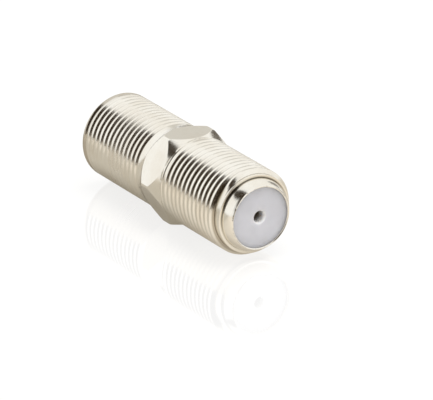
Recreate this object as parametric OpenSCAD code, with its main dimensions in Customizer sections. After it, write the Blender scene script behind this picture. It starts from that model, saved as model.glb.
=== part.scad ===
// Female-to-female coaxial coupler with a 3/8-32 thread at both ends.
// The axis runs along X, the front end points to +X, and the coupler lies on a flat of its hexagon.

/* [Thread] */
// Outside diameter of the thread
thread_d = 9.525; // [9:0.005:10]
// Distance from one ridge to the next
thread_pitch = 0.79375; // [0.6:0.00625:1]
// Depth of the grooves
thread_depth = 0.45; // [0.3:0.01:0.5]
// Width of the flat on top of each ridge
crest_w = 0.2; // [0.1:0.01:0.25]
// Angle between the two flanks of a groove
thread_angle = 60; // [50:1:60]
// Grooves between the hexagon and the front collar
front_grooves = 11; // [6:1:14]
// Grooves between the hexagon and the rear end
rear_grooves = 14; // [6:1:16]
// Plain stretch between the hexagon and its first groove, on both sides
plain_w = 0.8; // [0.4:0.05:2]

/* [Hexagon] */
// Distance across two opposite flats
hex_af = 9.6; // [9.55:0.05:11]
// Diameter over the turned corners
hex_corner_d = 10.95; // [10:0.05:12.5]
// Length of the corner edges, between the two chamfers
hex_edge_w = 1.2; // [0.6:0.1:4]
// Angle of the chamfers to the axis
hex_chamfer = 30; // [25:1:45]

/* [Front end] */
// Diameter of the plain collar in front of the thread
collar_d = 8.6; // [8.4:0.05:8.9]
// Distance from the last ridge to the front of the collar
collar_w = 1.285; // [0.8:0.005:2]
// Diameter of the nose that is rolled over the insulator
nose_d = 7.7; // [7.6:0.05:8]
// How far the nose stands out of the collar
nose_w = 1.3; // [1:0.05:2]
// Radius of the nose's outward curve
nose_round = 1; // [0.8:0.05:1.2]
// Diameter of the opening in the rolled lip
lip_d = 6.9; // [6.4:0.05:7]
// Thickness of the rolled lip over the insulator
lip_t = 0.25; // [0.15:0.01:0.4]
// Small bevel on turned edges
edge_break = 0.1; // [0.03:0.01:0.15]

/* [Rear end] */
// Plain stretch behind the last groove
rear_margin = 0.3; // [0.2:0.05:1]
// Chamfer of the rear end
rear_chamfer = 0.3; // [0.1:0.05:0.45]
// Thickness of the inward flange
flange_t = 0.5; // [0.3:0.05:1]

/* [Bore] */
// Diameter of the bore in the front half
front_bore_d = 7.2; // [7:0.05:7.3]
// Diameter of the bore in the rear half
rear_bore_d = 7.4; // [7.3:0.05:7.6]
// Radial clearance between an insulator and the bore
insulator_gap = 0.05; // [0.02:0.01:0.1]

/* [Insulators] */
// Thickness of the disc at the outer end
disc_t = 2.4; // [1.6:0.1:5]
// Diameter of the tube that carries the contact
hub_d = 3.8; // [3.4:0.1:5]
// Thickness of the end wall in front of the contact
end_wall = 1.2; // [0.8:0.05:1.5]
// Diameter of the hole for the centre conductor
entry_d = 1.3; // [1.1:0.05:1.5]
// Bevel round the mouth of that hole
entry_bevel = 0.12; // [0.05:0.01:0.25]
// Bevel round the disc
disc_bevel = 0.05; // [0.02:0.01:0.1]
// Clearance round the contact, and at each of its ends
contact_gap = 0.05; // [0.02:0.01:0.1]

/* [Centre contact] */
// Outside diameter of the rolled tube
contact_d = 2.2; // [2:0.05:2.6]
// Thickness of the sheet
contact_t = 0.25; // [0.15:0.01:0.3]
// Length of the fingers
finger_l = 5; // [3:0.25:8]
// Opening between the fingers where they grip
grip_d = 0.84; // [0.7:0.02:1]
// Length of the grip
grip_w = 0.6; // [0.3:0.05:1]
// Opening of the flared finger tips
tip_d = 1.44; // [1.3:0.02:1.6]
// Length of the flared tips
tip_l = 0.9; // [0.5:0.05:1.5]
// Width of the slots between the fingers
slot_w = 0.2; // [0.1:0.02:0.3]
// Width of the seam along the rolled tube
seam_w = 0.12; // [0.05:0.01:0.2]

/* [Hidden] */
$fn = 96;

thread_r = thread_d / 2;
groove_w = thread_pitch - crest_w;
groove_root_w = groove_w - 2 * thread_depth * tan(thread_angle / 2);

hex_corner_r = hex_corner_d / 2;
hex_foot_x = hex_edge_w / 2 + (hex_corner_r - thread_r) / tan(hex_chamfer);
thread_start_x = hex_foot_x + plain_w;

front_thread_x = thread_start_x + front_grooves * thread_pitch;
collar_x = front_thread_x + crest_w / 2;
nose_x = collar_x + collar_w;
front_x = nose_x + nose_w;
rear_x = -(thread_start_x + rear_grooves * thread_pitch + rear_margin);

front_seat_x = front_x - lip_t;
rear_seat_x = rear_x + flange_t;
insulator_l = (front_seat_x - rear_seat_x) / 2;
pocket_d = contact_d + 2 * contact_gap;
contact_l = 2 * (insulator_l - end_wall - contact_gap);
contact_x = (front_seat_x + rear_seat_x) / 2;
lip_round = lip_t / 2;
nose_drop = (nose_d - lip_d) / 2 - lip_round;
nose_curve_x = front_x - sqrt(nose_drop * (2 * nose_round - nose_drop));
cut = 0.5;

// Turns a profile, drawn as radius and place along the axis, about X.
module turned() {
    rotate([0, 90, 0]) rotate_extrude() children();
}

// Profile of one thread groove, centred at x.
module groove(x) {
    top = groove_w / 2;
    root = groove_root_w / 2;
    run = cut * tan(thread_angle / 2);
    translate([0, x])
        polygon([
            [thread_r - thread_depth, -root],
            [thread_r + cut, -top - run],
            [thread_r + cut, top + run],
            [thread_r - thread_depth, root]
        ]);
}

// Grooves side by side, from x towards dir.
module groove_row(x, count, dir) {
    for (i = [0 : count - 1]) groove(x + dir * (i + 0.5) * thread_pitch);
}

// Bar at the thread's diameter from the chamfered rear end, stepped down to the collar.
module bar_profile() {
    collar_r = collar_d / 2;
    polygon([
        [0, rear_x],
        [thread_r - rear_chamfer, rear_x],
        [thread_r, rear_x + rear_chamfer],
        [thread_r, collar_x],
        [collar_r, collar_x + (thread_r - collar_r) * tan(thread_angle / 2)],
        [collar_r, nose_x - edge_break],
        [collar_r - edge_break, nose_x],
        [0, nose_x]
    ]);
}

// Nose that curves in towards the lip.
module nose_profile() {
    nose_r = nose_d / 2;
    intersection() {
        translate([0, nose_x - cut]) square([nose_r, nose_w + cut]);
        union() {
            translate([0, nose_x - cut]) square([nose_r, nose_curve_x - nose_x + cut]);
            translate([0, nose_x - cut]) square([nose_r - nose_round, nose_w + cut]);
            translate([nose_r - nose_round, nose_curve_x]) circle(nose_round);
        }
    }
}

// Stepped bore, the opening of the rolled lip with its rounded rim, and the opening of the flange.
module bore_profile() {
    lip_r = lip_d / 2;
    polygon([
        [0, rear_seat_x],
        [rear_bore_d / 2, rear_seat_x],
        [rear_bore_d / 2, contact_x],
        [front_bore_d / 2, contact_x],
        [front_bore_d / 2, front_seat_x],
        [0, front_seat_x]
    ]);
    translate([0, rear_x - cut]) square([lip_r, flange_t + 2 * cut]);
    difference() {
        translate([0, front_seat_x - cut]) square([lip_r + lip_round, lip_t + 2 * cut]);
        translate([lip_r + lip_round, front_x - lip_round]) circle(lip_round);
        translate([lip_r, front_seat_x - 2 * cut]) square([lip_t, 2 * cut + lip_t / 2]);
    }
}

// Hexagon with its corners turned down and chamfered on both sides.
module hexagon() {
    intersection() {
        rotate([0, 90, 0]) rotate([0, 0, 30])
            cylinder(d = hex_af / cos(30), h = 2 * hex_foot_x, center = true, $fn = 6);
        turned() polygon([
            [0, -hex_foot_x],
            [thread_r, -hex_foot_x],
            [hex_corner_r, -hex_edge_w / 2],
            [hex_corner_r, hex_edge_w / 2],
            [thread_r, hex_foot_x],
            [0, hex_foot_x]
        ]);
    }
}

// Threaded body, turned from one bar, with the front lip rolled over the insulator.
module body() {
    color([0.80, 0.77, 0.70]) difference() {
        union() {
            turned() difference() {
                union() {
                    bar_profile();
                    nose_profile();
                }
                groove_row(thread_start_x, front_grooves, 1);
                groove_row(-thread_start_x, rear_grooves, -1);
            }
            hexagon();
        }
        turned() bore_profile();
    }
}

// Insulator: a disc with the conductor's hole, and a tube that carries half of the contact.
// Its outer face lies at x = 0 and it reaches towards -X. The disc fits a bore of diameter bore_d.
module insulator(bore_d) {
    disc_r = bore_d / 2 - insulator_gap;
    hub_r = hub_d / 2;
    entry_r = entry_d / 2;
    turned() difference() {
        polygon([
            [0, 0],
            [disc_r - disc_bevel, 0],
            [disc_r, -disc_bevel],
            [disc_r, -disc_t],
            [hub_r, -disc_t],
            [hub_r, -insulator_l],
            [0, -insulator_l]
        ]);
        translate([0, -insulator_l - cut]) square([pocket_d / 2, insulator_l - end_wall + cut]);
        polygon([
            [0, cut],
            [entry_r + entry_bevel + cut, cut],
            [entry_r, -entry_bevel],
            [entry_r, -end_wall - cut],
            [0, -end_wall - cut]
        ]);
    }
}

module front_insulator() {
    color([0.80, 0.80, 0.82]) translate([front_seat_x, 0, 0]) insulator(front_bore_d);
}

module rear_insulator() {
    color([0.80, 0.80, 0.82]) translate([rear_seat_x, 0, 0]) mirror([1, 0, 0])
        insulator(rear_bore_d);
}

// One wall of the contact, at the sheet's inner face plus out, from the middle to the tips.
function contact_wall(out) = [
    [contact_d / 2 - contact_t + out, 0],
    [contact_d / 2 - contact_t + out, contact_l / 2 - finger_l],
    [grip_d / 2 + out, contact_l / 2 - tip_l - grip_w],
    [grip_d / 2 + out, contact_l / 2 - tip_l],
    [tip_d / 2 + out, contact_l / 2]
];

// Same wall, read from its last point back to the first.
function backwards(points) = [for (i = [len(points) - 1 : -1 : 0]) points[i]];

// Slots that part the fingers at one end.
module finger_slots() {
    for (turn = [0, 90]) rotate([turn, 0, 0])
        translate([contact_l / 2 - finger_l, -contact_d, -slot_w / 2])
            cube([finger_l + cut, 2 * contact_d, slot_w]);
}

// Centre contact: a rolled tube with a seam, slotted into spring fingers at both ends.
module centre_contact() {
    color([0.80, 0.64, 0.36]) translate([contact_x, 0, 0]) difference() {
        for (side = [0, 1]) mirror([side, 0, 0])
            turned() polygon(concat(contact_wall(0), backwards(contact_wall(contact_t))));
        for (side = [0, 1]) mirror([side, 0, 0]) finger_slots();
        translate([-contact_l / 2 - cut, -seam_w / 2, 0])
            cube([contact_l + 2 * cut, seam_w, contact_d]);
    }
}

body();
front_insulator();
rear_insulator();
centre_contact();
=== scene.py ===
import math

import bmesh
import bpy
from mathutils import Matrix, Vector


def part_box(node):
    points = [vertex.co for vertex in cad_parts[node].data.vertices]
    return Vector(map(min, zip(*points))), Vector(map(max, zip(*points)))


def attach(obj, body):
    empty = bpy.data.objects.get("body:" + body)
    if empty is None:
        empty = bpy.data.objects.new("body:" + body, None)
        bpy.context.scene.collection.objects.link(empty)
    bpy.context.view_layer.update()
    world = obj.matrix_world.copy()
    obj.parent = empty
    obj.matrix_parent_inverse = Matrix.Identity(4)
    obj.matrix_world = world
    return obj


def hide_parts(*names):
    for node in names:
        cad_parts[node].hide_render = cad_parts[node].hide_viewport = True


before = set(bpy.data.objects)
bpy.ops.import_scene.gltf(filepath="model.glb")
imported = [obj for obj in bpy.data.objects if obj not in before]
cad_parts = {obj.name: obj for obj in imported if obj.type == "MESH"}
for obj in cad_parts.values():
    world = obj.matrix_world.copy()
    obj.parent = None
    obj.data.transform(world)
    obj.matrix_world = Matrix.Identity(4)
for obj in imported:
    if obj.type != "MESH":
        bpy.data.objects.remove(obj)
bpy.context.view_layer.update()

bl_info = {
    "name": "Coaxial barrel coupler",
    "version": (1, 0, 0),
    "blender": (4, 5, 0),
    "location": "View3D > Sidebar > Coupler",
    "description": "Builds the finished pieces of a threaded coaxial coupler, and its studio",
    "category": "Add Mesh",
}

MM = 0.001

BODY_LOW, BODY_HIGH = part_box("body")
FRONT_LOW, FRONT_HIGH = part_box("front_insulator")
REAR_LOW, REAR_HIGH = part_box("rear_insulator")
CONTACT_LOW, CONTACT_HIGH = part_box("centre_contact")

# Columns of half a hexagon side: on its flat, across its curved edge, and on its chamfer
SIDE_STEPS = (5, 4, 7)
# Points round every turned ring, which meet the columns of the hexagon's 12 half sides
COLUMNS = 12 * sum(SIDE_STEPS)
# Angle between a flank of the thread and a plane across the axis
FLANK = math.radians(30)
# How far the root's rounding reaches into the groove and stands above its floor, as shares
ROOT_REACH = 0.35
ROOT_LIFT = 0.06
# Turns of thread on either side of the hexagon
THREAD_TURNS = 14
# Where the thread's depth starts to change and over what length, in turns from its first groove
REAR_RUN_IN = (0.12, 0.2)
REAR_RUN_OUT = (13.9, 0.45)
FRONT_RUN_IN = (0.1, 1.8)
# Length over which the last ridge sinks to the collar, in turns
RIDGE_FADE = 0.12
# Places of the hexagon's rings along its chamfer, close together where the edges turn
CHAMFER_SHARES = (0, 0.02, 0.08, 0.2, 0.34, 0.48, 0.6, 0.7, 0.78, 0.84, 0.88, 0.91, 0.94, 0.97, 1)
# Places of its rings along the corner edge, from the middle
EDGE_SHARES = (0.25, 0.47)
# Edge of the overhead light on a card: it lies where y is the first times x, less the second times z
LIGHT_EDGE = (0.18, 0.283)
# Place of the overhead lamp, which shines at the hexagon's middle
LAMP_PLACE = (0.02, 0.06, 0.32)


# ---------------------------------------------------------------- sizes and colours

def length(name, description, default):
    """A length in metres, for a size that a user may change."""
    return bpy.props.FloatProperty(
        name=name, description=description, default=default,
        subtype="DISTANCE", unit="LENGTH", precision=5)


def angle(name, description, degrees):
    """An angle, with its default given in degrees."""
    return bpy.props.FloatProperty(
        name=name, description=description, default=math.radians(degrees),
        subtype="ANGLE", unit="ROTATION")


def number(name, description, default):
    """A plain number, such as a count of turns or a strength."""
    return bpy.props.FloatProperty(name=name, description=description, default=default)


def colour(name, description, default):
    """A linear colour."""
    return bpy.props.FloatVectorProperty(
        name=name, description=description, default=default,
        subtype="COLOR", size=3, min=0.0, max=1.0)


class BodySizes(bpy.types.PropertyGroup):
    """Sizes of the turned body that its box doesn't give"""
    thread_r: length("Thread radius", "Radius over the ridges", 4.7625 * MM)
    pitch: length("Pitch", "Distance from one ridge to the next", 0.79375 * MM)
    depth: length("Depth", "Depth of the grooves", 0.36 * MM)
    crest: length("Crest", "Width of the flat on each ridge", 0.34 * MM)
    ridge_round: length("Ridge rounding", "Radius along the ridges and the grooves", 0.06 * MM)
    rear_start: length("Rear thread", "Middle of the rear thread's groove at its first turn", -13.70 * MM)
    front_start: length("Front thread", "Middle of the front thread's groove at its first turn", 1.876 * MM)
    ridge_end: number("Ridge end", "Turns of the front ridge, from its start at the hexagon", 12.86)
    hex_edge: length("Corner edge", "Length of the hexagon's corner edges", 1.2 * MM)
    hex_chamfer: angle("Chamfer", "Angle of the hexagon's chamfers to the axis", 30)
    hex_soft: length("Edge softness", "Rounding of the hexagon's edges", 0.02 * MM)
    collar_r: length("Collar radius", "Radius of the plain collar", 4.3 * MM)
    collar: length("Collar", "Distance of the collar's edge from the front", 1.3 * MM)
    nose_r: length("Nose radius", "Radius of the rolled nose", 3.95 * MM)
    nose_round: length("Nose curve", "Radius of the nose's curve towards the lip", 2.0 * MM)
    lip_r: length("Lip radius", "Radius of the opening in the rolled front lip", 3.3 * MM)
    rear_lip_r: length("Rear lip radius", "Radius of the opening in the rear lip", 3.45 * MM)
    lip_round: length("Lip rounding", "Rounding of the lip's rim", 0.12 * MM)
    front_bore_r: length("Front bore radius", "Radius of the bore in its front half", 3.6 * MM)
    rear_bore_r: length("Rear bore radius", "Radius of the bore in its rear half", 3.7 * MM)
    rear_chamfer: length("Rear chamfer", "Chamfer of the rear end", 0.3 * MM)
    rear_margin: length("Rear margin", "Plain stretch between that chamfer and the thread", 0.02 * MM)
    collar_margin: length("Collar margin", "Distance of the thread's end from the collar's edge", 0.12 * MM)
    edge_round: length("Edge rounding", "Rounding of the turned edges", 0.06 * MM)


class InsulatorSizes(bpy.types.PropertyGroup):
    """Sizes of the two insulators that their boxes don't give"""
    disc: length("Disc", "Thickness of the disc", 2.4 * MM)
    hub_r: length("Hub radius", "Radius of the tube that carries the contact", 1.9 * MM)
    pocket_r: length("Pocket radius", "Radius of the pocket for the contact", 1.15 * MM)
    end_wall: length("End wall", "Thickness in front of the contact", 1.2 * MM)
    entry_r: length("Entry radius", "Radius of the centre conductor's hole", 0.65 * MM)
    entry_round: length("Entry rounding", "Rounding round the mouth of that hole", 0.2 * MM)
    disc_round: length("Disc rounding", "Rounding round the disc", 0.12 * MM)


class ContactSizes(bpy.types.PropertyGroup):
    """Sizes of the centre contact that its box doesn't give"""
    sheet: length("Sheet", "Thickness of the sheet", 0.25 * MM)
    finger: length("Fingers", "Length of the fingers", 5.0 * MM)
    grip_r: length("Grip radius", "Radius of the opening between the fingers", 0.42 * MM)
    grip: length("Grip", "Length of the grip", 0.6 * MM)
    tip_r: length("Tip radius", "Radius of the opening at the flared tips", 0.72 * MM)
    tip: length("Tips", "Length of the flared tips", 0.9 * MM)
    slot: length("Slot", "Width of the slots between the fingers", 0.2 * MM)


class FinishColours(bpy.types.PropertyGroup):
    """Colours of the finishes, and of the painted shade and light on them"""
    nickel: colour("Nickel", "Bright nickel plate", (0.93, 0.90, 0.82))
    nickel_worn: colour("Worn nickel", "Nickel where it was handled", (0.86, 0.81, 0.71))
    # Painted shade: dark brown laid into the bottoms of the thread's grooves and over the rear end's first
    # turn
    groove: colour("Groove", "Film left in the grooves of the thread", (0.34, 0.28, 0.19))
    # Painted shade in the corner between the collar and the nose, stronger on the upper side
    corner: colour("Corner", "Film left in the corner beside the nose", (0.136, 0.112, 0.076))
    insulator: colour("Insulator", "Pale moulded plastic", (0.645, 0.655, 0.71))
    # Painted light: near white for the wall and mouth of the centre hole, where light reaches in
    entry: colour("Entry", "Plastic round the centre hole, lit from inside", (0.97, 0.97, 0.98))
    contact: colour("Contact", "Spring bronze", (0.38, 0.34, 0.29))


class StudioSettings(bpy.types.PropertyGroup):
    """Camera, light, floor and cards"""
    turn: angle("Turn", "Angle between the coupler's axis and the camera's picture plane", 57.942)
    rise: angle("Rise", "Height of the camera over the floor, as an angle", 22.198)
    roll: angle("Roll", "Roll of the camera", -0.40)
    distance: length("Distance", "Distance of the camera", 0.513)
    lens: number("Lens", "Focal length in millimetres on a 36 mm sensor", 406.7)
    aim_right: length("Aim right", "Aim point, to the right of the hexagon's middle", 2.914 * MM)
    aim_up: length("Aim up", "Aim point, above the hexagon's middle", -2.597 * MM)
    room: number("Room", "Strength of the white room", 1.0)
    fill: number("Fill", "Strength of the room's light on dull surfaces", 0.9)
    lamp_power: number("Lamp power", "Power of the overhead lamp in watts", 1.6)
    lamp_size: length("Lamp size", "Side of the overhead lamp", 0.22)
    lamp_tint: colour("Lamp tint", "Colour of the overhead lamp", (1.0, 0.98, 0.95))
    board: colour("Board", "Colour of the floor, which takes the shadow", (0.07, 0.07, 0.07))
    board_glow: colour("Board glow", "Light that the floor adds to its colour", (0.79, 0.79, 0.79))
    board_bounce: colour("Board bounce", "Floor's colour as it lights the coupler", (0.16, 0.155, 0.145))
    board_rear: colour("Board, rear", "Floor as the rear thread mirrors it", (0.262, 0.235, 0.192))
    board_front: colour("Board, front", "Floor as the front thread mirrors it", (0.575, 0.525, 0.46))
    black_flag: colour("Black flag", "Dark card beside the coupler", (0.040, 0.027, 0.016))
    upper_flag: colour("Upper flag", "Dark card over the rear end", (0.040, 0.030, 0.020))
    grey_card: colour("Grey card", "Light grey card behind the coupler", (0.66, 0.64, 0.60))
    back_flag: colour("Back flag", "Dark card behind the coupler", (0.10, 0.08, 0.06))


# ---------------------------------------------------------------- mesh helpers

def add_object(name, data):
    """A new object of the scene."""
    item = bpy.data.objects.new(name, data)
    bpy.context.scene.collection.objects.link(item)
    return item


def apply_modifier(piece, modifier):
    """Turns a modifier's result into the piece's own mesh."""
    bpy.context.view_layer.objects.active = piece
    with bpy.context.temp_override(object=piece, active_object=piece, selected_objects=[piece]):
        bpy.ops.object.modifier_apply(modifier=modifier.name)


class Skin:
    """Points and faces of a surface that is built ring by ring along X."""

    def __init__(self):
        self.points = []
        self.faces = []

    def point(self, x, radius, turn):
        """A point at this radius, turned from +Y towards +Z by a share of a full turn."""
        around = math.tau * turn
        self.points.append((x, radius * math.cos(around), radius * math.sin(around)))
        return len(self.points) - 1

    def ring(self, x, radius):
        """A round ring."""
        return [self.point(x, radius, j / COLUMNS) for j in range(COLUMNS)]

    def bridge(self, ring_a, ring_b):
        """Faces between two rings of equal length."""
        count = len(ring_a)
        for j in range(count):
            k = (j + 1) % count
            self.faces.append((ring_a[j], ring_a[k], ring_b[k], ring_b[j]))

    def lathe(self, profile, previous=None):
        """Rings through the profile's points, joined to the previous ring. Returns the last."""
        for x, radius in profile:
            ring = self.ring(x, radius)
            if previous:
                self.bridge(previous, ring)
            previous = ring
        return previous

    def make(self, name):
        """The piece, smooth, with normals weighted so that flats stay flat beside small roundings."""
        mesh = bpy.data.meshes.new(name)
        mesh.from_pydata(self.points, [], self.faces)
        mesh.validate()
        mesh.shade_smooth()
        piece = add_object(name, mesh)
        weights = piece.modifiers.new("weighted normals", "WEIGHTED_NORMAL")
        weights.mode = "FACE_AREA"
        weights.weight = 60
        apply_modifier(piece, weights)
        return piece


def rounded(corners, steps=6):
    """Points through the corners (x, radius, rounding), with an arc at each that has a rounding."""
    out = []
    last = len(corners) - 1
    for i, (x, radius, rounding) in enumerate(corners):
        here = Vector((x, radius))
        if rounding == 0 or i in (0, last):
            out.append((x, radius))
            continue
        before = (Vector(corners[i - 1][:2]) - here).normalized()
        after = (Vector(corners[i + 1][:2]) - here).normalized()
        half = before.angle(after) / 2
        reach = rounding / math.tan(half)
        centre = here + (before + after).normalized() * (rounding / math.sin(half))
        first = here + before * reach - centre
        sweep = first.angle_signed(here + after * reach - centre)
        for step in range(steps + 1):
            spoke = Matrix.Rotation(-sweep * step / steps, 2) @ first
            out.append(tuple(centre + spoke))
    return out


def smooth_min(a, b, soft):
    """The smaller of two values, with the change between them rounded."""
    overlap = max(soft - abs(a - b), 0) / soft
    return min(a, b) - overlap * overlap * soft / 4


def ease(value):
    """0 to 1 with soft ends."""
    value = min(max(value, 0.0), 1.0)
    return value * value * (3 - 2 * value)


# ---------------------------------------------------------------- body

def groove_places(sizes, share):
    """Rows across one pitch of thread, from the middle of a ridge, as (place, drop).
    share is how deep the tool stands, from 0 to 1."""
    shape = max(share, 0.1)  # a shallower cut keeps this shape and is only lowered
    depth = sizes.depth * shape
    fillet = sizes.ridge_round * math.sqrt(shape)
    slope = math.tan(FLANK)
    root = (sizes.pitch - sizes.crest) / 2 - sizes.depth * slope
    top = root + depth * slope
    reach = fillet * slope
    half = []
    for around in (0.0, FLANK, 2 * FLANK):
        half.append((-top - reach + fillet * math.sin(around), fillet * (1 - math.cos(around))))
    half.append((-root - reach / 2, depth - reach * math.cos(FLANK)))
    half.append((-root + reach * ROOT_REACH, depth - fillet * ROOT_LIFT))
    rows = [(-sizes.pitch / 2, 0.0), *half, (0.0, depth)]
    rows += [(-place, drop) for place, drop in reversed(half)]
    return [(place, drop * share / shape) for place, drop in rows]


def thread_band(skin, sizes, below, start, share_at, ridge_at, low, high):
    """A helical thread as one strip of rows that follow the helix, joined to the ring below.
    share_at is the depth of a groove and ridge_at the height of a ridge, at a number of turns.
    Between low and high, rows that would pass either limit stay a gap apart instead.
    Returns the open rows on top: the last turn's row, and the rows along the seam."""
    per_turn = len(groove_places(sizes, 1.0))
    last = per_turn * THREAD_TURNS
    gap = 0.004 * MM
    cache = {}

    def place(row, column):
        turn, k = divmod(row, per_turn)
        along = turn + column / COLUMNS
        if along not in cache:
            cache[along] = groove_places(sizes, share_at(along))
        offset, drop = cache[along][k]
        ridge = ridge_at(along - 0.5 if offset < 0 else along + 0.5)
        radius = sizes.collar_r + (sizes.thread_r - drop - sizes.collar_r) * ridge
        x = start + sizes.pitch * along + offset
        x = max(x, low + gap * (row + 1))
        x = min(x, high - gap * (last + per_turn - row + 1))
        return skin.point(x, radius, column / COLUMNS)

    rows = [[place(row, j) for j in range(COLUMNS)] for row in range(last + 1)]
    seam = [place(row, 0) for row in range(last + 1, last + per_turn + 1)]

    def at(row, column):
        if column < COLUMNS:
            return rows[row][column]
        row += per_turn
        return rows[row][0] if row <= last else seam[row - last - 1]

    for row in range(last):
        for j in range(COLUMNS):
            skin.faces.append((at(row, j), at(row, j + 1), at(row + 1, j + 1), at(row + 1, j)))
    for j in range(COLUMNS - 1):
        skin.faces.append((below[j], below[j + 1], rows[0][j + 1], rows[0][j]))
    climb = [rows[row][0] for row in range(per_turn, -1, -1)]
    skin.faces.append((below[-1], below[0], *reversed(climb), rows[0][-1]))
    return rows[last], seam


def close_band(skin, band, above):
    """Joins the open top of a thread to a round ring."""
    row, seam = band
    skin.faces.append((row[0], row[1], above[1], above[0], *reversed(seam)))
    for j in range(1, COLUMNS - 1):
        skin.faces.append((row[j], row[j + 1], above[j + 1], above[j]))
    skin.faces.append((row[-1], seam[-1], above[0], above[-1]))


def hexagon_ring(skin, sizes, x):
    """One ring of the hexagon. Its columns gather where a flat meets the chamfer."""
    flat_r = BODY_HIGH[2]
    corner_r = BODY_HIGH[1]
    soft = sizes.hex_soft
    chamfer_r = corner_r - (abs(x) - sizes.hex_edge / 2) * math.tan(sizes.hex_chamfer)
    limit = smooth_min(corner_r, chamfer_r, soft)

    def meets(radius):
        return math.acos(min(flat_r / radius, 1.0))

    # Angles from the middle of a flat to the corner: the flat's end, the edge's end, and the least
    # room that each of them leaves to the next
    corner = math.radians(30)
    least_flat, least_edge, least_gap = math.radians(2.0), math.radians(1.2), math.radians(0.6)
    last_edge = math.radians(29.3)
    flat_end = max(meets(limit - soft), least_flat)
    edge_end = min(max(meets(limit + soft), flat_end + least_edge), last_edge)
    flat_end = min(flat_end, edge_end - least_gap)
    on_flat, on_edge, on_chamfer = SIDE_STEPS
    stops = [flat_end * i / on_flat for i in range(on_flat)]
    stops += [flat_end + (edge_end - flat_end) * i / on_edge for i in range(on_edge)]
    stops += [edge_end + (corner - edge_end) * i / on_chamfer for i in range(on_chamfer + 1)]
    ring = []
    per_side = COLUMNS // 6
    for j in range(COLUMNS):
        side, step = divmod(j, per_side)
        step -= per_side // 2
        away = stops[abs(step)]
        radius = max(smooth_min(flat_r / math.cos(away), limit, soft), sizes.thread_r)
        middle = 2 * corner * (side + 0.5)
        ring.append(skin.point(x, radius, (middle + math.copysign(away, step)) / math.tau))
    return ring


def hexagon_rows(sizes):
    """Places of the hexagon's rings, from its rear foot to its front foot."""
    edge_x = sizes.hex_edge / 2
    foot = edge_x + (BODY_HIGH[1] - sizes.thread_r) / math.tan(sizes.hex_chamfer)
    half = [sizes.hex_edge * share for share in EDGE_SHARES]
    half += [edge_x + (foot - edge_x) * share for share in CHAMFER_SHARES]
    return [-x for x in reversed(half)] + [0.0] + half


def rear_share(along):
    """Depth of the rear thread: it starts quickly at the rear end and runs out at the hexagon."""
    start, rise = REAR_RUN_IN
    end, fall = REAR_RUN_OUT
    return ease((along - start) / rise) * ease((end - along) / fall)


def front_share(along):
    """Depth of the front thread: it runs out slowly at the hexagon."""
    start, rise = FRONT_RUN_IN
    return 1 - (1 - min(max((along - start) / rise, 0), 1)) ** 2


def nose_curve(sizes, front_x, steps=12):
    """Corners along the nose, which curves in until it meets the rounded rim of the lip."""
    drop = sizes.nose_r - sizes.lip_r - sizes.lip_round
    sweep = math.acos(1 - drop / sizes.nose_round)
    start = front_x - sizes.nose_round * math.sin(sweep)
    corners = []
    for step in range(steps + 1):
        around = sweep * step / steps
        x = start + sizes.nose_round * math.sin(around)
        corners.append((x, sizes.nose_r - sizes.nose_round * (1 - math.cos(around)), 0))
    return corners


def make_body_mesh(sizes):
    """The whole body as one closed skin, from the rear end to the nose and back through the bore."""
    skin = Skin()
    rear_x, front_x = BODY_LOW[0], BODY_HIGH[0]
    rear_foot_x = rear_x + sizes.rear_chamfer
    collar_x = front_x - sizes.collar
    low = rear_foot_x + sizes.rear_margin
    high = collar_x - sizes.collar_margin
    hexagon = hexagon_rows(sizes)

    def full_height(along):
        return 1.0

    def front_height(along):
        return 1 - ease((along - sizes.ridge_end + RIDGE_FADE / 2) / RIDGE_FADE)

    rear_end = skin.ring(low, sizes.thread_r)
    band = thread_band(skin, sizes, rear_end, sizes.rear_start, rear_share, full_height, low, hexagon[0])
    foot = hexagon_ring(skin, sizes, hexagon[0])
    close_band(skin, band, foot)
    for x in hexagon[1:]:
        ring = hexagon_ring(skin, sizes, x)
        skin.bridge(foot, ring)
        foot = ring
    band = thread_band(skin, sizes, foot, sizes.front_start, front_share, front_height, hexagon[-1], high)
    collar = skin.ring(high, sizes.collar_r)
    close_band(skin, band, collar)

    soft = sizes.edge_round
    front_seat, rear_seat = FRONT_HIGH[0], REAR_LOW[0]
    outline = rounded([
        (high, sizes.collar_r, 0),
        (collar_x, sizes.collar_r, soft),
        (collar_x, sizes.nose_r, soft / 2),
        *nose_curve(sizes, front_x),
        (front_x, sizes.lip_r, sizes.lip_round),
        (front_seat, sizes.lip_r, soft / 4),
        (front_seat, sizes.front_bore_r, soft / 4),
        (FRONT_LOW[0], sizes.front_bore_r, soft / 4),
        (FRONT_LOW[0], sizes.rear_bore_r, soft / 4),
        (rear_seat, sizes.rear_bore_r, soft / 4),
        (rear_seat, sizes.rear_lip_r, soft / 4),
        (rear_x, sizes.rear_lip_r, soft),
        (rear_x, sizes.thread_r - sizes.rear_chamfer, soft),
        (rear_foot_x, sizes.thread_r, soft / 3),
        (low, sizes.thread_r, 0),
    ])
    ring = skin.lathe(outline[1:-1], collar)
    skin.bridge(ring, rear_end)
    return skin.make("threaded_body")


# ---------------------------------------------------------------- insulators and contact

def make_insulator_mesh(name, sizes, face_x, inner_x, disc_r):
    """One insulator, from its outer face at face_x to the end of its tube at inner_x."""
    inward = math.copysign(1, inner_x - face_x)
    back_x = face_x + inward * sizes.disc
    wall_x = face_x + inward * sizes.end_wall
    soft = sizes.disc_round / 3
    outline = rounded([
        (wall_x, sizes.entry_r, 0),
        (face_x, sizes.entry_r, sizes.entry_round),
        (face_x, disc_r, sizes.disc_round),
        (back_x, disc_r, soft),
        (back_x, sizes.hub_r, soft),
        (inner_x, sizes.hub_r, soft),
        (inner_x, sizes.pocket_r, soft),
        (wall_x, sizes.pocket_r, 0),
    ])
    skin = Skin()
    first = skin.lathe(outline[:1])
    last = skin.lathe(outline[1:], first)
    skin.bridge(last, first)
    if inward > 0:
        skin.faces = [tuple(reversed(face)) for face in skin.faces]
    return skin.make(name)


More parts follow.
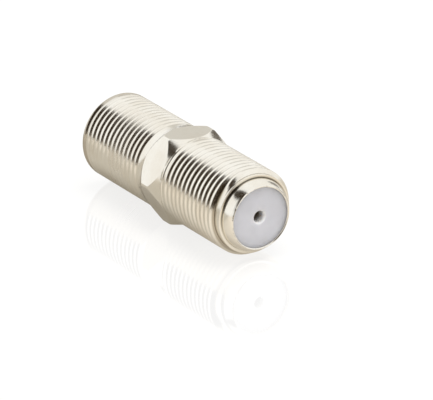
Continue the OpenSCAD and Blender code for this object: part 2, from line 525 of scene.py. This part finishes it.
def contact_rows(sizes, half, inner):
    """Places and inner radii along the contact: plain, pinched to the grip, and flared at the tips."""
    finger_x = half - sizes.finger
    tip_x = half - sizes.tip
    grip_x = half - sizes.tip - sizes.grip
    pinch_steps = 10
    rows = [(0, inner), (finger_x, inner)]
    for step in range(1, pinch_steps + 1):
        share = step / pinch_steps
        x = finger_x + (sizes.finger - sizes.tip - sizes.grip) * share
        rows.append((x, inner + (sizes.grip_r - inner) * ease(share)))
    for share in (0.5, 1.0):
        rows.append((grip_x + sizes.grip * share, sizes.grip_r))
    for share in (0.25, 0.5, 0.75, 1.0):
        radius = sizes.grip_r + (sizes.tip_r - sizes.grip_r) * ease(share)
        rows.append((tip_x + sizes.tip * share, radius))
    return [(-x, radius) for x, radius in reversed(rows[1:])] + rows


def make_contact_mesh(sizes):
    """The rolled sheet as a grid with its slots left open, given its thickness by Solidify."""
    middle = (CONTACT_LOW[0] + CONTACT_HIGH[0]) / 2
    half = (CONTACT_HIGH[0] - CONTACT_LOW[0]) / 2
    rows = contact_rows(sizes, half, CONTACT_HIGH[2] - sizes.sheet)
    quarter_turn = math.pi / 2
    quarter_steps = 12
    mesh = bmesh.new()
    grid = []
    for x, inner in rows:
        radius = inner + sizes.sheet / 2
        half_slot = math.asin(min(sizes.slot / 2 / radius, 1.0))
        line = []
        for side in range(4):
            for step in range(quarter_steps + 1):
                away = half_slot + (quarter_turn - 2 * half_slot) * step / quarter_steps
                around = quarter_turn * side + away
                spot = (middle + x, radius * math.cos(around), radius * math.sin(around))
                line.append(mesh.verts.new(spot))
        grid.append(line)
    count = len(grid[0])
    finger_x = half - sizes.finger
    tolerance = 1e-6 * MM
    for i in range(len(grid) - 1):
        in_fingers = max(abs(rows[i][0]), abs(rows[i + 1][0])) > finger_x + tolerance
        for j in range(count):
            crosses_slot = j % (quarter_steps + 1) == quarter_steps
            crosses_seam = j == quarter_steps
            if crosses_seam or (crosses_slot and in_fingers):
                continue
            k = (j + 1) % count
            mesh.faces.new((grid[i][j], grid[i][k], grid[i + 1][k], grid[i + 1][j]))
    data = bpy.data.meshes.new("centre_contact_sheet")
    mesh.to_mesh(data)
    mesh.free()
    data.shade_smooth()
    piece = add_object("contact_sheet", data)
    thickness = piece.modifiers.new("sheet", "SOLIDIFY")
    thickness.thickness = sizes.sheet
    thickness.offset = 0.0
    thickness.use_even_offset = True
    apply_modifier(piece, thickness)
    return piece


# ---------------------------------------------------------------- materials

class Nodes:
    """Short calls for the node tree of a material or a world."""

    def __init__(self, owner):
        owner.use_nodes = True
        self.owner = owner
        self.tree = owner.node_tree

    def add(self, kind, inputs=(), **settings):
        """A node with these settings; inputs is a list of (socket, value or output to link)."""
        node = self.tree.nodes.new(kind)
        for key, value in settings.items():
            setattr(node, key, value)
        for socket, value in inputs:
            self.set(node, socket, value)
        return node

    def set(self, node, socket, value):
        """Links or sets one input."""
        if isinstance(value, bpy.types.NodeSocket):
            self.tree.links.new(value, node.inputs[socket])
        else:
            node.inputs[socket].default_value = value

    def maths(self, operation, a, b=0.0):
        """The result of one Math node."""
        node = self.add("ShaderNodeMath", [(0, a), (1, b)], operation=operation)
        return node.outputs[0]

    def blend(self, share, first, second):
        """A colour between two colours."""
        node = self.add("ShaderNodeMix", data_type="RGBA")
        for socket, value in ((0, share), (6, first), (7, second)):
            self.set(node, socket, value)
        return node.outputs[2]

    def spread(self, value, low, high, out_low=0.0, out_high=1.0):
        """The value, brought from one range to another and kept inside it."""
        node = self.add("ShaderNodeMapRange", [
            (0, value), (1, low), (2, high), (3, out_low), (4, out_high)])
        return node.outputs[0]

    def near(self, value, centre, low, high, most):
        """The most up to the low distance from the centre, and nothing past the high one."""
        distance = self.maths("ABSOLUTE", self.maths("SUBTRACT", value, centre))
        return self.spread(distance, low, high, most, 0.0)

    def noise(self, place, scale, detail, roughness=0.5):
        """The value of a noise texture."""
        node = self.add("ShaderNodeTexNoise", [
            ("Vector", place), ("Scale", scale), ("Detail", detail), ("Roughness", roughness)])
        return node.outputs["Fac"]

    def stretched(self, place, scale):
        """The place, scaled along each axis."""
        return self.add("ShaderNodeMapping", [(0, place), ("Scale", scale)]).outputs[0]

    def places(self):
        """The place on the coupler, its X and Z, and its distance from the axis."""
        place = self.add("ShaderNodeTexCoord").outputs["Object"]
        x, y, z = self.add("ShaderNodeSeparateXYZ", [(0, place)]).outputs
        square = self.maths("ADD", self.maths("MULTIPLY", y, y), self.maths("MULTIPLY", z, z))
        return place, x, z, self.maths("SQRT", square)


class MaterialNodes(Nodes):
    """The nodes of a new material, with its shader."""

    def __init__(self, name):
        super().__init__(bpy.data.materials.new(name))
        self.shader = self.tree.nodes["Principled BSDF"]

    def shade(self, **values):
        """Sets the shader's inputs, named with _ for a space."""
        for key, value in values.items():
            self.set(self.shader, key.replace("_", " "), value)

    def bump(self, height, strength, distance):
        """Gives the shader a fine relief."""
        node = self.add("ShaderNodeBump", [
            ("Height", height), ("Strength", strength), ("Distance", distance)])
        self.set(self.shader, "Normal", node.outputs[0])


def rgba(value):
    """A colour with full alpha."""
    return (*value, 1.0)


def groove_shade(n, body, x, radius):
    """Share of the painted shade: at the bottom of the grooves and on the first turn, not on the end face.
    """
    groove_r = body.thread_r - body.depth
    collar_x = BODY_HIGH[0] - body.collar
    in_groove = n.spread(radius, groove_r + 0.03 * MM, groove_r + 0.20 * MM, 0.9, 0.0)
    on_thread = n.spread(x, collar_x - 1.1 * MM, collar_x - 0.5 * MM, 1.0, 0.0)
    in_groove = n.maths("MULTIPLY", in_groove, on_thread)
    at_rear = n.spread(x, BODY_LOW[0] + 0.3 * MM, BODY_LOW[0] + 1.3 * MM, 0.6, 0.0)
    past_end = n.spread(x, BODY_LOW[0] + 0.02 * MM, BODY_LOW[0] + 0.2 * MM)
    return n.maths("MULTIPLY", n.maths("MAXIMUM", in_groove, at_rear), past_end)


def corner_shade(n, body, x, z, radius):
    """Share of the painted shade in the corner between the collar and the nose, mostly on the upper side.
    """
    at_collar = n.near(x, BODY_HIGH[0] - body.collar, 0.02 * MM, 0.14 * MM, 0.9)
    low_down = n.spread(radius, body.nose_r + 0.05 * MM, body.nose_r + 0.2 * MM, 1.0, 0.0)
    on_top = n.spread(z, -1.5 * MM, 1.5 * MM, 0.25, 1.0)
    return n.maths("MULTIPLY", n.maths("MULTIPLY", at_collar, low_down), on_top)


def nickel_material(colours, body):
    """Bright nickel over turned metal: fine tool rings, a soft cloud of wear, painted shade in the grooves
    and in the corner beside the nose.
    """
    n = MaterialNodes("bright_nickel")
    place, x, z, radius = n.places()
    cloud = n.noise(place, 260.0, 4.0, 0.6)
    rings = n.noise(n.stretched(place, (26000.0, 500.0, 500.0)), 1.0, 3.0, 0.65)
    grain = n.noise(place, 9000.0, 2.0)

    plate = n.blend(n.spread(cloud, 0.38, 0.68), rgba(colours.nickel), rgba(colours.nickel_worn))
    # Painted shade: the grooves and the rear end's first turn are darkened with the groove colour
    groove_shaded = n.blend(groove_shade(n, body, x, radius), plate, rgba(colours.groove))
    # Painted shade: the corner beside the nose is darkened, more on the upper side than below
    plate_and_shade = n.blend(corner_shade(n, body, x, z, radius), groove_shaded, rgba(colours.corner))

    rough = n.maths("ADD", n.spread(cloud, 0.3, 0.7, 0.13, 0.20), n.spread(rings, 0.35, 0.65, 0.0, 0.05))
    rubbed = n.near(x, -7.0 * MM, 1.0 * MM, 3.2 * MM, 0.08)
    n.shade(Base_Color=plate_and_shade, Metallic=1.0, Roughness=n.maths("ADD", rough, rubbed))

    height = n.maths("ADD", n.maths("MULTIPLY", rings, 0.55), n.maths("MULTIPLY", grain, 0.45))
    n.bump(height, 0.26, 0.02 * MM)
    return n.owner


def insulator_material(colours):
    """Pale moulded plastic: slightly milky, with a faint mottle, a fine moulded grain and painted light in
    and round the centre hole.
    """
    n = MaterialNodes("pale_plastic")
    place, _, _, radius = n.places()
    mottle = n.noise(place, 700.0, 3.0)
    grain = n.noise(place, 14000.0, 2.0)
    tint = rgba(colours.insulator)
    darker = rgba([c * 0.93 for c in colours.insulator])
    face = n.blend(n.spread(mottle, 0.35, 0.7), tint, darker)
    # Painted light: the hole's wall and mouth are made near white
    painted_light_at_entry = n.spread(radius, 0.66 * MM, 0.80 * MM, 1.0, 0.0)
    n.shade(
        Base_Color=n.blend(painted_light_at_entry, face, rgba(colours.entry)),
        Roughness=n.spread(grain, 0.3, 0.7, 0.42, 0.55),
        Subsurface_Weight=0.8,
        Subsurface_Radius=(1.0, 0.95, 0.9),
        Subsurface_Scale=2.0 * MM,
    )
    n.bump(grain, 0.1, 0.01 * MM)
    return n.owner


def contact_material(colours):
    """Rolled spring bronze with lengthwise rolling marks."""
    n = MaterialNodes("spring_bronze")
    place = n.add("ShaderNodeTexCoord").outputs["Object"]
    marks = n.noise(n.stretched(place, (400.0, 9000.0, 9000.0)), 1.0, 3.0)
    tint = rgba(colours.contact)
    darker = rgba([c * 0.7 for c in colours.contact])
    n.shade(
        Base_Color=n.blend(n.spread(marks, 0.35, 0.7), tint, darker),
        Metallic=1.0,
        Roughness=n.spread(marks, 0.3, 0.7, 0.25, 0.4),
    )
    n.bump(marks, 0.2, 0.01 * MM)
    return n.owner


def board_material(settings):
    """Glazed white board that shows near white, keeps a light shadow and mirrors faintly."""
    n = MaterialNodes("white_board")
    seen = n.add("ShaderNodeLightPath").outputs["Is Camera Ray"]
    place = n.add("ShaderNodeTexCoord").outputs["Object"]
    along = n.add("ShaderNodeSeparateXYZ", [(0, place)]).outputs[0]
    to_front = n.spread(along, 2.0 * MM, 18.0 * MM)
    mirrored = n.blend(to_front, rgba(settings.board_rear), rgba(settings.board_front))
    n.shade(
        Base_Color=n.blend(seen, rgba(settings.board_bounce), rgba(settings.board)),
        Emission_Color=n.blend(seen, mirrored, rgba(settings.board_glow)),
        Emission_Strength=1.0,
        Roughness=0.05,
        Specular_IOR_Level=seen,
    )
    return n.owner


def card_material(name, tint):
    """An even card: the metal mirrors it in just this colour."""
    n = MaterialNodes(name)
    n.shade(
        Base_Color=(0.0, 0.0, 0.0, 1.0),
        Emission_Color=rgba(tint),
        Emission_Strength=1.0,
        Roughness=1.0,
        Specular_IOR_Level=0.0,
    )
    return n.owner


# ---------------------------------------------------------------- studio

def view_axes(settings):
    """Right, up and towards the camera, in the coupler's frame."""
    level = Vector((math.sin(settings.turn), -math.cos(settings.turn), 0))
    right = Vector((math.cos(settings.turn), math.sin(settings.turn), 0))
    towards = level * math.cos(settings.rise) + Vector((0, 0, math.sin(settings.rise)))
    up = towards.cross(right)
    c, s = math.cos(settings.roll), math.sin(settings.roll)
    return right * c + up * s, up * c - right * s, towards


def make_camera(settings):
    """The camera, aimed beside the middle of the hexagon."""
    right, up, towards = view_axes(settings)
    data = bpy.data.cameras.new("camera")
    data.lens = settings.lens
    data.sensor_width = 36.0
    data.clip_start = 0.01
    data.clip_end = 20.0
    camera = add_object("camera", data)
    aim = right * settings.aim_right + up * settings.aim_up
    facing = Matrix((right, up, towards)).transposed().to_4x4()
    camera.matrix_world = Matrix.Translation(aim + towards * settings.distance) @ facing
    bpy.context.scene.camera = camera


def make_room(settings):
    """A white room: white to the camera and to glossy and clear surfaces, a little less to dull ones."""
    n = Nodes(bpy.data.worlds.new("white_room"))
    path = n.add("ShaderNodeLightPath")
    seen = n.maths("MAXIMUM", path.outputs["Is Camera Ray"], path.outputs["Is Glossy Ray"])
    seen = n.maths("MAXIMUM", seen, path.outputs["Is Transmission Ray"])
    gain = n.maths("MULTIPLY", seen, settings.room - settings.fill)
    background = n.tree.nodes["Background"]
    n.set(background, "Color", (1.0, 1.0, 1.0, 1.0))
    n.set(background, "Strength", n.maths("ADD", gain, settings.fill))
    bpy.context.scene.world = n.owner


def make_sheet(name, points, faces, material):
    """A studio surface."""
    mesh = bpy.data.meshes.new(name)
    mesh.from_pydata([tuple(point) for point in points], [], faces)
    mesh.materials.append(material)
    sheet = add_object(name, mesh)
    return sheet


def make_floor(settings, reach=3.0):
    """The white board that the coupler lies on."""
    corners = [(-reach, -reach), (reach, -reach), (reach, reach), (-reach, reach)]
    points = [(x, y, BODY_LOW[2]) for x, y in corners]
    make_sheet("floor", points, [(0, 1, 2, 3)], board_material(settings))


def light_edge(side):
    """Rise of the overhead light's edge over the floor, to one side of the coupler."""
    slope, drop = LIGHT_EDGE
    return math.atan2(slope * side.x - side.y, drop)


def make_card(name, tint, turns, rises, under_light, reach=0.25):
    """A curved card round the coupler, between two turns and two rises in degrees. It is only
    mirrored. Under the light, it stops at the overhead light's edge."""
    columns, rows = 48, 32
    low, top = math.radians(rises[0]), math.radians(rises[1])
    points = []
    faces = []
    for i in range(rows + 1):
        for j in range(columns + 1):
            turn = math.radians(turns[0] + (turns[1] - turns[0]) * j / columns)
            side = Vector((math.cos(turn), math.sin(turn)))
            high = max(min(top, light_edge(side)), low) if under_light else top
            rise = low + (high - low) * i / rows
            flat = math.cos(rise)
            points.append(Vector((side.x * flat, side.y * flat, math.sin(rise))) * reach)
    for i in range(rows):
        for j in range(columns):
            a = i * (columns + 1) + j
            faces.append((a, a + 1, a + columns + 2, a + columns + 1))
    card = make_sheet(name, points, faces, card_material(name, tint))
    card.visible_camera = False
    card.visible_diffuse = False
    card.visible_shadow = False
    card.visible_transmission = False


def make_lamp(settings):
    """The soft square lamp overhead, which shines on the coupler and isn't mirrored in it."""
    data = bpy.data.lights.new("overhead_lamp", "AREA")
    data.shape = "SQUARE"
    data.size = settings.lamp_size
    data.energy = settings.lamp_power
    data.color = settings.lamp_tint
    lamp = add_object("overhead_lamp", data)
    lamp.location = LAMP_PLACE
    lamp.rotation_euler = lamp.location.to_track_quat("Z", "Y").to_euler()
    lamp.visible_glossy = False


# ---------------------------------------------------------------- operators

def dress(piece, material, node):
    """Gives a piece its material, seats it on the body root and lets it stand for its node."""
    piece.data.materials.clear()
    piece.data.materials.append(material)
    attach(piece, "root")
    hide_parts(node)


class COUPLER_OT_body(bpy.types.Operator):
    """Make the threaded body with its hexagon, collar and rolled nose"""
    bl_idname = "coupler.body"
    bl_label = "Body"

    def execute(self, context):
        sizes = context.scene.coupler_body
        material = nickel_material(context.scene.coupler_colours, sizes)
        dress(make_body_mesh(sizes), material, "body")
        return {"FINISHED"}


class COUPLER_OT_insulators(bpy.types.Operator):
    """Make the front and the rear insulator"""
    bl_idname = "coupler.insulators"
    bl_label = "Insulators"

    def execute(self, context):
        sizes = context.scene.coupler_insulator
        material = insulator_material(context.scene.coupler_colours)
        middle = FRONT_LOW[0]
        for name, node, face_x, disc_r in (
            ("front_insulator_moulding", "front_insulator", FRONT_HIGH[0], FRONT_HIGH[2]),
            ("rear_insulator_moulding", "rear_insulator", REAR_LOW[0], REAR_HIGH[2]),
        ):
            piece = make_insulator_mesh(name, sizes, face_x, middle, disc_r)
            dress(piece, material, node)
        return {"FINISHED"}


class COUPLER_OT_contact(bpy.types.Operator):
    """Make the centre contact with its spring fingers"""
    bl_idname = "coupler.contact"
    bl_label = "Centre contact"

    def execute(self, context):
        piece = make_contact_mesh(context.scene.coupler_contact)
        dress(piece, contact_material(context.scene.coupler_colours), "centre_contact")
        return {"FINISHED"}


class COUPLER_OT_studio(bpy.types.Operator):
    """Make the floor, the white room, the cards, the lamp and the camera"""
    bl_idname = "coupler.studio"
    bl_label = "Studio"

    def execute(self, context):
        settings = context.scene.coupler_studio
        make_floor(settings)
        make_room(settings)
        for name, turns, rises, under_light in (
            ("black_flag", (-60, 8), (-4, 80), True),
            ("upper_flag", (-165, -60), (46, 80), True),
            ("grey_card", (138, 158), (8, 32), False),
            ("back_flag", (102, 117), (8, 28), False),
        ):
            make_card(name, getattr(settings, name), turns, rises, under_light)
        make_lamp(settings)
        make_camera(settings)
        context.scene.view_settings.view_transform = "Standard"
        return {"FINISHED"}


class COUPLER_PT_panel(bpy.types.Panel):
    """Sidebar panel with the coupler's makers and settings"""
    bl_idname = "COUPLER_PT_panel"
    bl_label = "Coaxial coupler"
    bl_space_type = "VIEW_3D"
    bl_region_type = "UI"
    bl_category = "Coupler"

    def draw(self, context):
        for operator in OPERATORS:
            self.layout.operator(operator.bl_idname)
        for name in GROUPS:
            box = self.layout.box()
            settings = getattr(context.scene, name)
            box.label(text=GROUPS[name].__doc__)
            for prop in settings.bl_rna.properties:
                if prop.identifier not in ("rna_type", "name"):
                    box.prop(settings, prop.identifier)


GROUPS = {
    "coupler_body": BodySizes,
    "coupler_insulator": InsulatorSizes,
    "coupler_contact": ContactSizes,
    "coupler_colours": FinishColours,
    "coupler_studio": StudioSettings,
}
OPERATORS = (COUPLER_OT_studio, COUPLER_OT_body, COUPLER_OT_insulators, COUPLER_OT_contact)


def register():
    """Adds the settings, the operators and the panel."""
    for name, group in GROUPS.items():
        bpy.utils.register_class(group)
        setattr(bpy.types.Scene, name, bpy.props.PointerProperty(type=group))
    for operator in OPERATORS:
        bpy.utils.register_class(operator)
    bpy.utils.register_class(COUPLER_PT_panel)


def unregister():
    """Takes them out again."""
    bpy.utils.unregister_class(COUPLER_PT_panel)
    for operator in reversed(OPERATORS):
        bpy.utils.unregister_class(operator)
    for name, group in GROUPS.items():
        delattr(bpy.types.Scene, name)
        bpy.utils.unregister_class(group)


def main():
    """Makes the whole scene."""
    register()
    bpy.ops.coupler.studio()
    bpy.ops.coupler.body()
    bpy.ops.coupler.insulators()
    bpy.ops.coupler.contact()


if __name__ == "__main__":
    main()
